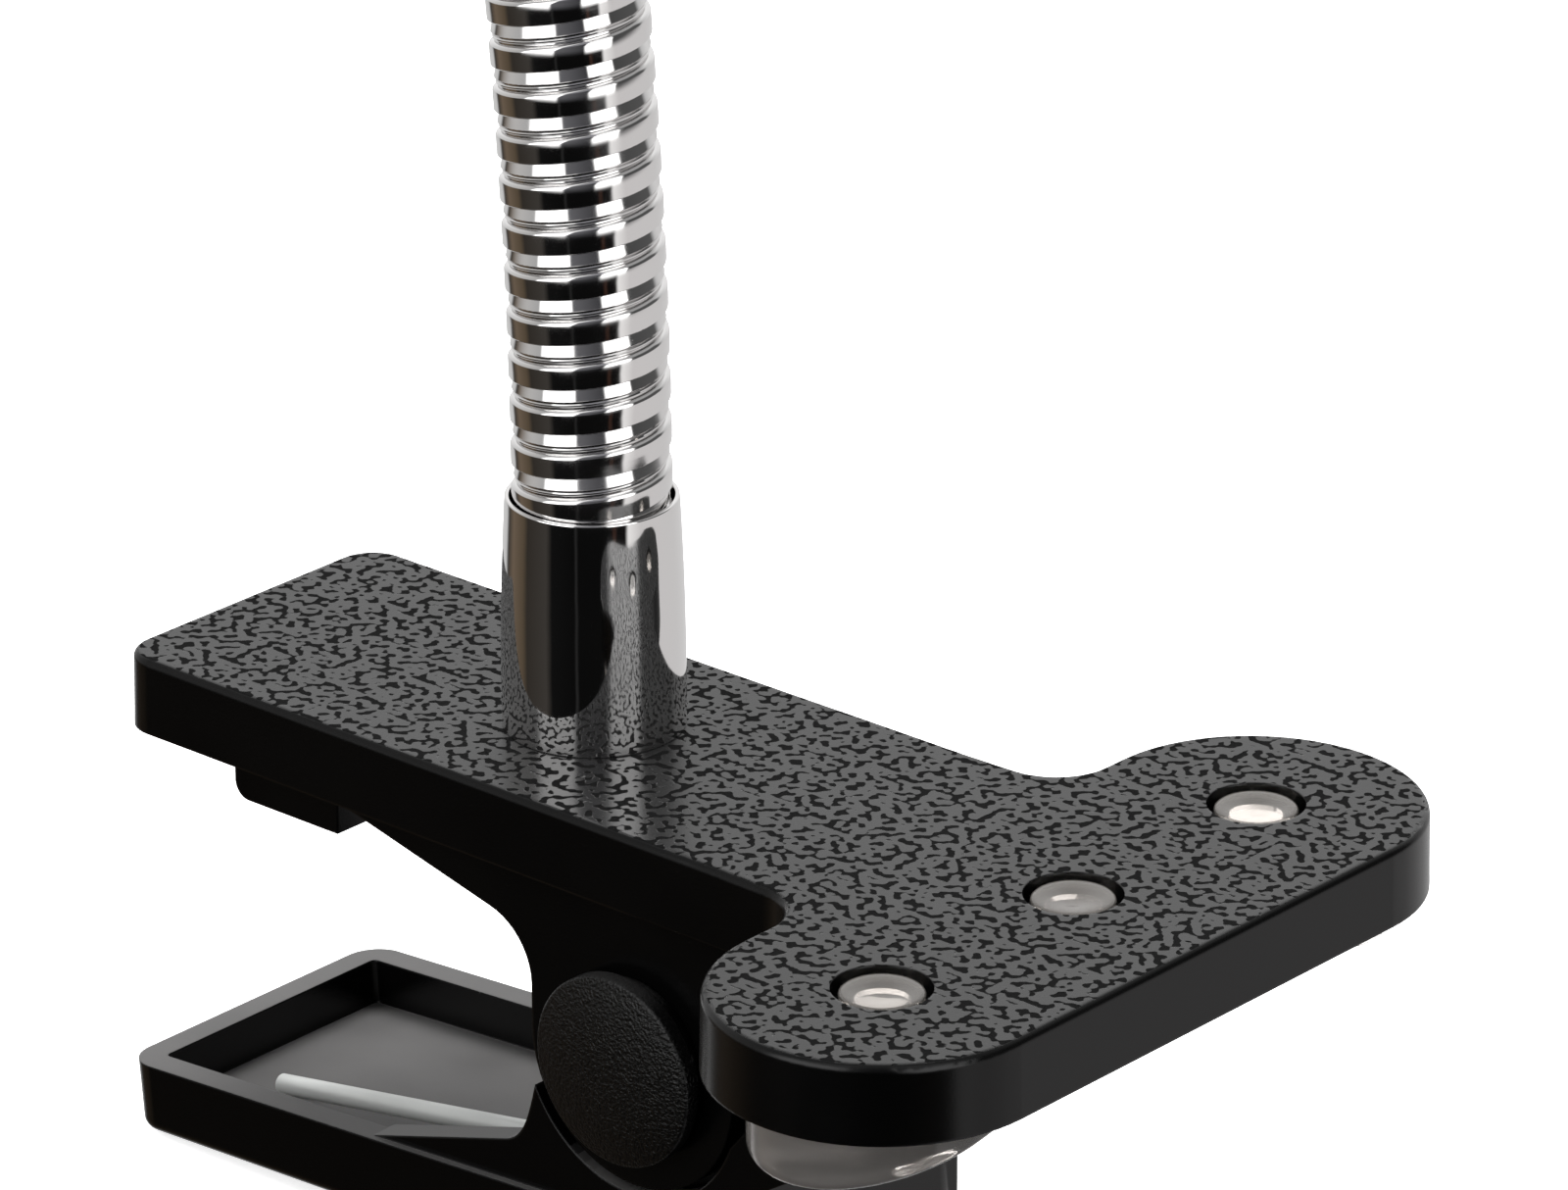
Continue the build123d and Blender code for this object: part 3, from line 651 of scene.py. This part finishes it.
# the ferrule's heights are along the hose from its last joint
FERRULE_LOW = 7.0 * MM
FERRULE_HIGH = 24.0 * MM
FERRULE_WAIST = 7.45 * MM
FERRULE_WAIST_SHARE = 0.36
FERRULE_TOP = 6.5 * MM
STEM_HOLE = 3.1 * MM
STEM_POCKET = 4.3 * MM
POCKET_LOW = 12.3 * MM
POCKET_HIGH = 15.6 * MM
HOSE_STOP = 12.2 * MM


def make_ferrule():
    """Chromed ferrule at the top of the hose, the collar's shape turned over."""
    place = axis_matrix(Vector(BENDS[-1]["pos_m"]), LAST_DIRECTION)
    length = FERRULE_HIGH - FERRULE_LOW
    outline = bellied(SLEEVE_TOP, FERRULE_WAIST, FERRULE_WAIST_SHARE * length, FERRULE_TOP, length)
    shell = [(radius, FERRULE_LOW + z) for radius, z in outline]
    crown = round_corner(
        (FERRULE_TOP, FERRULE_HIGH),
        (FERRULE_TOP + 0.05 * MM, FERRULE_HIGH - 0.35 * MM),
        (FERRULE_TOP - 0.4 * MM, FERRULE_HIGH),
    )
    profile = [(SLEEVE_BORE, FERRULE_LOW + LIP_ROUND), (LIP_INNER, FERRULE_LOW)]
    profile += shell[:-1] + crown
    profile += [(STEM_HOLE, FERRULE_HIGH), (STEM_HOLE, POCKET_HIGH), (STEM_POCKET, POCKET_HIGH)]
    profile += [(STEM_POCKET, POCKET_LOW), (SLEEVE_BORE, HOSE_STOP)]
    vertices, faces = lathe(profile, place, sides=128, closed=True)
    ferrule = mesh_object("ferrule_shell", vertices, faces, "chrome_collar")
    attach(ferrule, f"link_{len(BENDS):02d}")
    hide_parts("ferrule_top")


# ---------------------------------------------------------------- pivot caps and spring
# heights out from the middle of the clamp, along the pivot
CAP_SEAT = 13.7 * MM
CAP_UNDER = 15.2 * MM
CAP_RIM = 16.6 * MM
CAP_STEM = 7.2 * MM
CAP_SLACK = 0.1 * MM
CAP_FOOT_ROUND = 0.2 * MM
# the dome from its rim to its middle: radius, height over the rim in mm
CAP_DOME = [(7.2, 0.16), (6.0, 0.35), (4.5, 0.51), (3.0, 0.62), (1.5, 0.68), (0.0, 0.70)]


def make_pivot_caps():
    """Two domed caps with a rounded rim, each on its stepped stem."""
    low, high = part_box("pivot_caps")
    radius = (high.x - low.x) / 2 - CAP_SLACK
    foot = round_corner(
        (radius, CAP_UNDER), (radius - CAP_FOOT_ROUND, CAP_UNDER), (radius, CAP_UNDER + CAP_FOOT_ROUND)
    )
    edge = round_corner(
        (radius, CAP_RIM), (radius, CAP_RIM - 0.22 * MM), (radius - 0.25 * MM, CAP_RIM + 0.02 * MM)
    )
    profile = [(0.0, CAP_SEAT), (CAP_STEM, CAP_SEAT), (CAP_STEM, CAP_UNDER)] + foot + edge
    profile += [(r * MM, CAP_RIM + z * MM) for r, z in CAP_DOME]
    shapes = []
    for side in (-1, 1):
        place = Matrix.Translation((PIVOT.x, 0, PIVOT.z)) @ Matrix.Rotation(
            -side * math.pi / 2, 4, "X"
        )
        shapes.append(lathe(profile, place, sides=96))
    vertices, faces = merge(*shapes)
    caps = mesh_object("pivot_cap_pair", vertices, faces, "cap_plastic")
    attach(caps, "jaw_upper")
    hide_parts("pivot_caps")


WIRE = 0.9 * MM
WIRE_END_ROUND = 0.12 * MM
WIRE_BEND = 2.6 * MM
COIL = 5.6 * MM
COIL_TURNS = 5
TURN_STEPS = 40
LEG_STEPS = 8
COIL_TOP_Y = 5.7 * MM
COIL_LOW_Y = -6.5 * MM
UPPER_END = Vector((POST.x - 15.0 * MM, 0, PLATE_Z - 3.6 * MM))
LOWER_END = Vector((POST.x - 30.3 * MM, COIL_LOW_Y, PLATE_Z - 40.0 * MM))
LOWER_SLOPE = 0.169
LOWER_LEAVE = math.radians(-45.0)


def make_spring():
    """One wire: leg under the upper handle, coil round the pin, leg down into the lower handle."""
    run = UPPER_END - PIVOT
    reach = math.hypot(run.x, run.z)
    start = math.atan2(run.z, run.x) - math.acos(COIL / reach)
    sweep = start - LOWER_LEAVE + COIL_TURNS * 2 * math.pi
    drop = (COIL_TOP_Y - COIL_LOW_Y) / sweep
    length = math.sqrt(reach**2 - COIL**2)

    def around(angle, y):
        return Vector((PIVOT.x + COIL * math.cos(angle), y, PIVOT.z + COIL * math.sin(angle)))

    touch = around(start, COIL_TOP_Y)
    away = Vector((-math.sin(start), drop / COIL, math.cos(start)))
    points = [touch + away * length * (1 - k / LEG_STEPS) for k in range(LEG_STEPS)]
    steps = COIL_TURNS * TURN_STEPS
    points += [
        around(start - sweep * k / steps, COIL_TOP_Y - drop * sweep * k / steps)
        for k in range(steps + 1)
    ]
    leave = points[-1]
    down = Vector((math.sin(LOWER_LEAVE), 0, -math.cos(LOWER_LEAVE)))
    rise = leave.z - LOWER_END.z - LOWER_SLOPE * (leave.x - LOWER_END.x)
    elbow = leave + down * rise / (-down.z + LOWER_SLOPE * down.x)
    back = (LOWER_END - elbow).normalized()
    into = elbow - down * WIRE_BEND
    out = elbow + back * WIRE_BEND
    points += [leave + (into - leave) * k / 4 for k in range(1, 4)]
    points += [Vector(p) for p in round_corner(elbow, into, out, 10)]
    points += [out + (LOWER_END - out) * k / 10 for k in range(1, 11)]
    vertices, faces = tube(points, WIRE, sides=24, end_round=WIRE_END_ROUND)
    spring = mesh_object("spring_wire", vertices, faces, "spring_steel", smooth_angle=50.0)
    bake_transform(spring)
    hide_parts("spring_coil", "spring_leg")


# ---------------------------------------------------------------- silicone pads
ARCH_SLOPE = 0.11
ARCH_CURVE = 0.0042 / MM
ARCH_TOP = PLATE_Z - 8.54 * MM
PAD_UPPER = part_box("pad_upper")
HEAD_X = (PAD_UPPER[0].x + PAD_UPPER[1].x) / 2
PAD_RADIUS = (PAD_UPPER[1].x - PAD_UPPER[0].x) / 2
LOBE_Y = PAD_UPPER[1].y - PAD_RADIUS
PLATE_UNDER = PLATE_Z - 2.6 * MM
PEG_SEAT = PLATE_Z - 1.7 * MM
PAD_ARC_STEPS = 28
PAD_SIDE_STEPS = 14
# rings of the pad in mm: inset from its edge, and depth under the plate or lift off the arch
PAD_BACK = [(2.5, 0.0), (0.35, 0.0), (0.1, 0.12), (0.0, 0.4)]
PAD_RIM = [(0.0, 1.1), (0.0, 0.55), (0.12, 0.25), (0.35, 0.06), (0.8, 0.0), (1.5, 0.1)]
PAD_FACE = [(inset, 0.25) for inset in (2.0, 4.0, 6.5, 9.0, 10.3)]
# a peg from inside the pad up to the middle of its head: radius, height over its seat in mm
PEG = [(2.2, -1.3), (2.2, 0.0), (3.24, 0.0), (3.38, 0.16), (3.38, 1.10), (3.34, 1.26), (3.2, 1.37)]
PEG += [(2.95, 1.40), (2.5, 1.37), (1.8, 1.27), (1.2, 1.16), (0.7, 1.08), (0.0, 1.06)]


def arch(x, y):
    """Height of the pad's arched gripping face."""
    return ARCH_TOP + ARCH_SLOPE * (x - HEAD_X) - ARCH_CURVE * y * y


def stadium(radius):
    """Outline of the pad in plan, at a distance from the line through its pegs."""
    points = []
    for end in (1, -1):
        for k in range(PAD_ARC_STEPS + 1):
            angle = math.pi * k / PAD_ARC_STEPS
            points.append(
                (HEAD_X + end * radius * math.cos(angle), end * (LOBE_Y + radius * math.sin(angle)))
            )
        for k in range(1, PAD_SIDE_STEPS):
            y = end * LOBE_Y * (1 - 2 * k / PAD_SIDE_STEPS)
            points.append((HEAD_X - end * radius, y))
    return points


def make_upper_pad():
    """Clear pad with an arched gripping face, a soft rim and three headed pegs."""
    rings = []
    for inset, depth in PAD_BACK:
        rings.append([(x, y, PLATE_UNDER - depth * MM) for x, y in stadium(PAD_RADIUS - inset * MM)])
    for inset, lift in PAD_RIM + PAD_FACE:
        rings.append([(x, y, arch(x, y) + lift * MM) for x, y in stadium(PAD_RADIUS - inset * MM)])
    vertices = [Vector(p) for ring in rings for p in ring]
    size = len(rings[0])
    faces = []
    for i in range(len(rings) - 1):
        for k in range(size):
            n = (k + 1) % size
            faces.append([i * size + k, (i + 1) * size + k, (i + 1) * size + n, i * size + n])
    faces.append(list(range(size)))
    bottom = (len(rings) - 1) * size
    half = size // 2
    for k in range(half - 1):
        faces.append([bottom + k, bottom + size - 1 - k, bottom + size - 2 - k, bottom + k + 1])
    profile = [(r * MM, PEG_SEAT + z * MM) for r, z in PEG]
    pegs = []
    for y in (-LOBE_Y, 0.0, LOBE_Y):
        pegs.append(lathe(profile, Matrix.Translation((HEAD_X, y, 0)), sides=56))
    vertices, faces = merge((vertices, faces), *pegs)
    pad = mesh_object("silicone_pad_upper", vertices, faces, "clear_silicone", smooth_angle=50.0)
    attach(pad, "jaw_upper")
    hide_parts("pad_upper")


LOW_PAD_LENGTH = 15.0 * MM
LOW_PAD_THICK = 2.0 * MM
LOW_PAD_CORNER = 4.0 * MM
CORNER_STEPS = 8
# rings from the back up over the lip: inset in mm, height as a share of half the thickness
LOW_PAD_RINGS = [(0.2, -1.0), (0.0, -0.85), (0.0, 0.35), (0.12, 0.7), (0.4, 0.95), (0.8, 1.0)]
LOW_PAD_RINGS += [(1.2, 0.9), (1.45, 0.6), (1.9, 0.55)]
RIB_PITCH = 2.4 * MM
RIB_RADIUS = 0.38 * MM
RIB_END_ROUND = 0.15 * MM
RIB_REACH = (-4.8, -2.4, 0.0, 2.4, 4.8)


def rounded_box(length, width, corner, inset):
    """Outline of a rectangle with round corners, drawn in by an inset."""
    points = []
    radius = corner - inset
    for quarter in range(4):
        cx = (length / 2 - corner) * (1 if quarter in (0, 3) else -1)
        cy = (width / 2 - corner) * (1 if quarter in (0, 1) else -1)
        for k in range(CORNER_STEPS + 1):
            angle = math.pi / 2 * (quarter + k / CORNER_STEPS)
            points.append((cx + radius * math.cos(angle), cy + radius * math.sin(angle)))
    return points


def make_lower_pad():
    """Flat clear pad with a raised lip and grip ribs, on the lower jaw's arm."""
    low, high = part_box("pad_lower")
    tilt = math.atan(ARCH_SLOPE)
    centre = Vector(((low.x + high.x) / 2, 0, (low.z + high.z) / 2))
    place = Matrix.Translation(centre) @ Matrix.Rotation(-tilt, 4, "Y")
    vertices = []
    rings = []
    for inset, level in LOW_PAD_RINGS:
        ring = rounded_box(LOW_PAD_LENGTH, high.y - low.y, LOW_PAD_CORNER, inset * MM)
        rings.append(list(range(len(vertices), len(vertices) + len(ring))))
        vertices += [place @ Vector((x, y, level * LOW_PAD_THICK / 2)) for x, y in ring]
    faces = [rings[0][::-1], rings[-1]]
    size = len(rings[0])
    for below, above in zip(rings, rings[1:]):
        for k in range(size):
            n = (k + 1) % size
            faces.append([below[k], below[n], above[n], above[k]])
    ribs = []
    rib_z = 0.62 * LOW_PAD_THICK / 2
    for k in range(-4, 5):
        line = [place @ Vector((x * MM, k * RIB_PITCH, rib_z)) for x in RIB_REACH]
        ribs.append(tube(line, RIB_RADIUS, sides=12, end_round=RIB_END_ROUND))
    vertices, faces = merge((vertices, faces), *ribs)
    pad = mesh_object("silicone_pad_lower", vertices, faces, "clear_silicone", smooth_angle=50.0)
    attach(pad, "jaw_lower")
    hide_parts("pad_lower")


# ---------------------------------------------------------------- studio
# how the studio looks in a reflection, by angle to the right of the camera's direction:
# below the horizon, round the horizon, and overhead
LOW_BAND = [
    (-180, (0.70, 0.70, 0.70)),
    (-142, (0.62, 0.62, 0.62)),
    (-134, (0.05, 0.045, 0.04)),
    (-120, (0.16, 0.12, 0.085)),
    (-98, (0.10, 0.075, 0.05)),
    (-90, (0.035, 0.03, 0.025)),
    (-60, (0.05, 0.045, 0.04)),
    (-52, (0.006, 0.006, 0.006)),
    (-22, (0.004, 0.004, 0.004)),
    (-20, (0.025, 0.025, 0.025)),
    (-17, (0.004, 0.004, 0.004)),
    (26, (0.004, 0.004, 0.004)),
    (29, (0.05, 0.025, 0.018)),
    (33, (0.004, 0.004, 0.004)),
    (44, (0.006, 0.005, 0.005)),
    (48, (0.95, 0.94, 0.93)),
    (66, (0.68, 0.66, 0.66)),
    (128, (0.66, 0.65, 0.65)),
    (180, (0.70, 0.70, 0.70)),
]
LEVEL_BAND = [
    (-180, (1.0, 1.0, 1.0)),
    (-142, (0.72, 0.72, 0.72)),
    (-100, (0.55, 0.54, 0.53)),
    (-74, (0.45, 0.45, 0.45)),
    (-69, (2.6, 2.6, 2.6)),
    (-25, (2.6, 2.6, 2.6)),
    (-21, (0.14, 0.14, 0.15)),
    (19, (0.05, 0.05, 0.055)),
    (23, (2.6, 2.6, 2.6)),
    (58, (2.6, 2.6, 2.6)),
    (61, (0.07, 0.07, 0.07)),
    (112, (0.10, 0.10, 0.10)),
    (122, (0.60, 0.60, 0.60)),
    (150, (0.9, 0.9, 0.9)),
    (180, (1.0, 1.0, 1.0)),
]
HIGH_BAND = [
    (-180, (0.55, 0.55, 0.55)),
    (-110, (0.42, 0.42, 0.42)),
    (-72, (0.38, 0.38, 0.38)),
    (-66, (1.0, 1.0, 1.0)),
    (-28, (1.0, 1.0, 1.0)),
    (-22, (0.26, 0.26, 0.28)),
    (22, (0.26, 0.26, 0.28)),
    (28, (1.0, 1.0, 1.0)),
    (56, (1.0, 1.0, 1.0)),
    (62, (0.34, 0.34, 0.34)),
    (130, (0.42, 0.42, 0.42)),
    (180, (0.55, 0.55, 0.55)),
]


def make_world():
    """White to the camera, dim for matt surfaces, softboxes in reflections, pale through the silicone."""
    world = bpy.data.worlds.new("studio")
    bpy.context.scene.world = world
    world.use_nodes = True
    graph = Graph(world.node_tree)
    direction = graph.add("TexCoord").outputs["Generated"]
    axes = graph.add("SeparateXYZ", {0: direction})
    back_x, back_y = math.sin(VIEW_AZIMUTH), -math.cos(VIEW_AZIMUTH)
    ahead = graph.math(
        "ADD",
        graph.math("MULTIPLY", axes.outputs["X"], back_x),
        graph.math("MULTIPLY", axes.outputs["Y"], back_y),
    )
    right = graph.math(
        "SUBTRACT",
        graph.math("MULTIPLY", axes.outputs["Y"], back_x),
        graph.math("MULTIPLY", axes.outputs["X"], back_y),
    )
    angle = graph.math("ARCTAN2", right, ahead)
    turn = graph.math("ADD", graph.math("DIVIDE", angle, 2 * math.pi), 0.5)

    def band(stops):
        return graph.ramp(turn, [((degrees + 180) / 360, colour) for degrees, colour in stops])

    height = axes.outputs["Z"]
    reflected = graph.mix(graph.step(height, -0.20, -0.06), band(LOW_BAND), band(LEVEL_BAND))
    reflected = graph.mix(graph.step(height, 0.56, 0.70), reflected, band(HIGH_BAND))
    path = graph.add("LightPath")
    soft = graph.mix(graph.step(height, -0.3, 0.7), grey(0.08), grey(0.35))
    seen = graph.mix(path.outputs["Is Diffuse Ray"], reflected, soft)
    seen = graph.mix(path.outputs["Is Transmission Ray"], seen, grey(0.85))
    seen = graph.mix(path.outputs["Is Camera Ray"], seen, grey(1.0))
    background = graph.add("Background", {"Color": seen, "Strength": 1.0})
    graph.add("OutputWorld", {"Surface": background})


def make_light(name, place, size, power):
    """Soft rectangle of light that faces the clamp. It is left out of reflections and refractions."""
    data = bpy.data.lights.new(name, "AREA")
    data.shape = "RECTANGLE"
    data.size, data.size_y = size
    data.energy = power
    light = bpy.data.objects.new(name, data)
    bpy.context.scene.collection.objects.link(light)
    light.location = place
    light.rotation_euler = (VIEW_TARGET - Vector(place)).to_track_quat("-Z", "Y").to_euler()
    light.visible_glossy = False
    light.visible_transmission = False


FLOOR_HALF = 4.0
FLOOR_GAP = 0.5 * MM


def make_floor():
    """Plain pale floor just under the clamp."""
    material, graph = new_material("studio_floor")
    point = object_point(graph)
    tone = graph.add("TexNoise", {"Vector": point, "Scale": 3.0, "Detail": 2.0})
    colour = graph.mix(tone.outputs[0], grey(0.93), grey(0.97))
    finish_shader(
        graph,
        {
            "Base Color": colour,
            "Roughness": 0.9,
            "Specular IOR Level": 0.0,
            "Emission Color": grey(1.0),
            "Emission Strength": 0.75,
        },
    )
    half = FLOOR_HALF
    z = cad_low.z - FLOOR_GAP
    corners = [(-half, -half, z), (half, -half, z), (half, half, z), (-half, half, z)]
    data = bpy.data.meshes.new("floor")
    data.from_pydata(corners, [], [(0, 1, 2, 3)])
    floor = bpy.data.objects.new("floor", data)
    bpy.context.scene.collection.objects.link(floor)
    floor.data.materials.append(material)
    floor.visible_glossy = False
    floor.visible_diffuse = False


# ---------------------------------------------------------------- everything
make_camera()
dress_cad_nodes()
make_collar()
make_gooseneck()
make_ferrule()
make_pivot_caps()
make_spring()
make_upper_pad()
make_lower_pad()
make_world()
make_light("back_top", (-0.35, 0.40, 0.95), (0.7, 0.5), 17.0)
make_light("fill_left", (-0.6, -0.5, 0.7), (0.5, 0.5), 3.0)
make_floor()
bpy.context.scene.view_settings.view_transform = "Standard"
